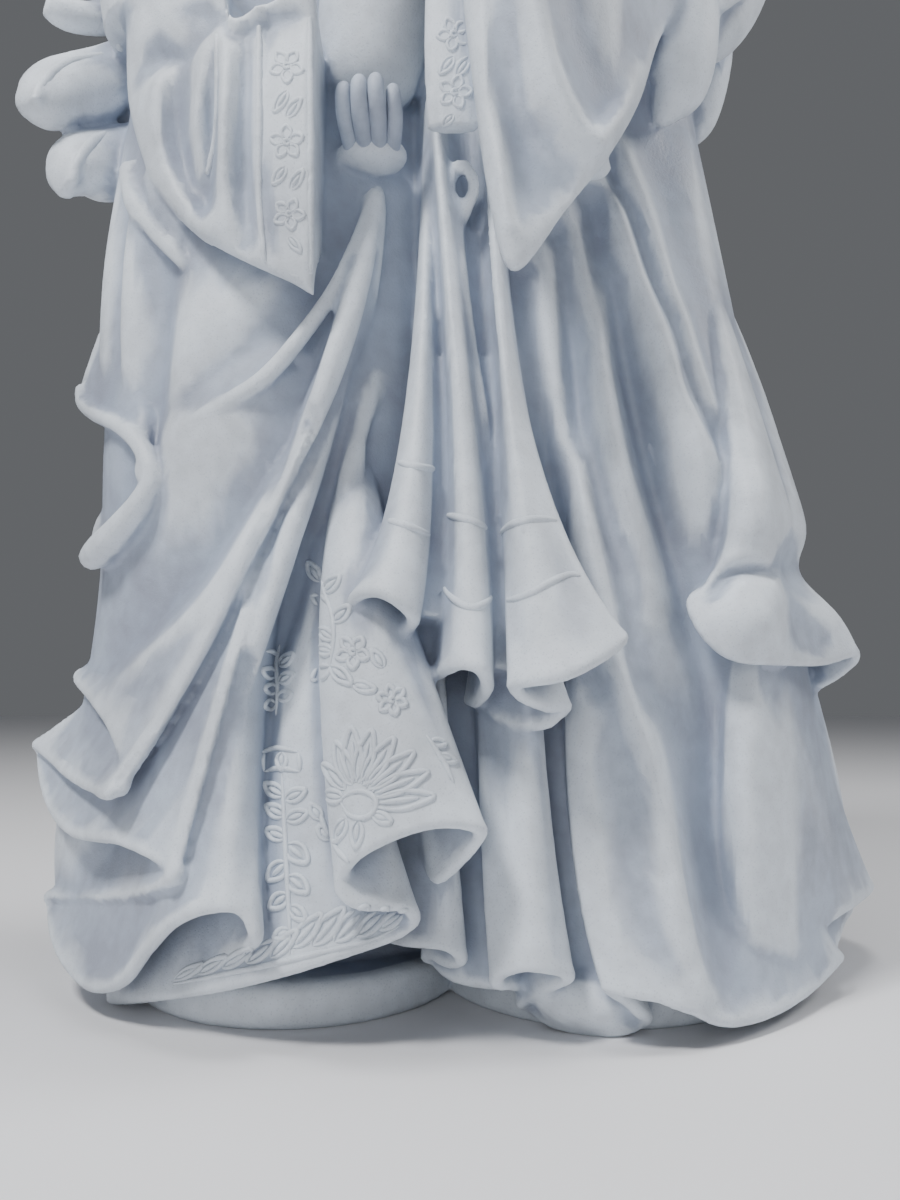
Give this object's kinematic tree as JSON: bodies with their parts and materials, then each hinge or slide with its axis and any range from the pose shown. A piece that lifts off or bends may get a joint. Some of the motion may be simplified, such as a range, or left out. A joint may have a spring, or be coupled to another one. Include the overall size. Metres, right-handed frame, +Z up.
{
  "type": "holy family statue",
  "caption": "Cast marble-look group of a veiled mother and a bearded father holding their swaddled child, in long folded dress on a low lobed plinth.",
  "frame": {"origin": "On the underside of the low plinth, between its two round lobes, in the plane it stands on.", "axes": "+Z is up through the heads, -Y is the front that faces the viewer, and +X is the viewer's right, where the father stands."},
  "size_m": [0.3, 0.1745, 0.5985],
  "materials": {
    "marble": "satin bonded marble, pale cool white"
  },
  "bodies": {
    "root": {"holy_family_group": "marble"}
  },
  "joints": []
}
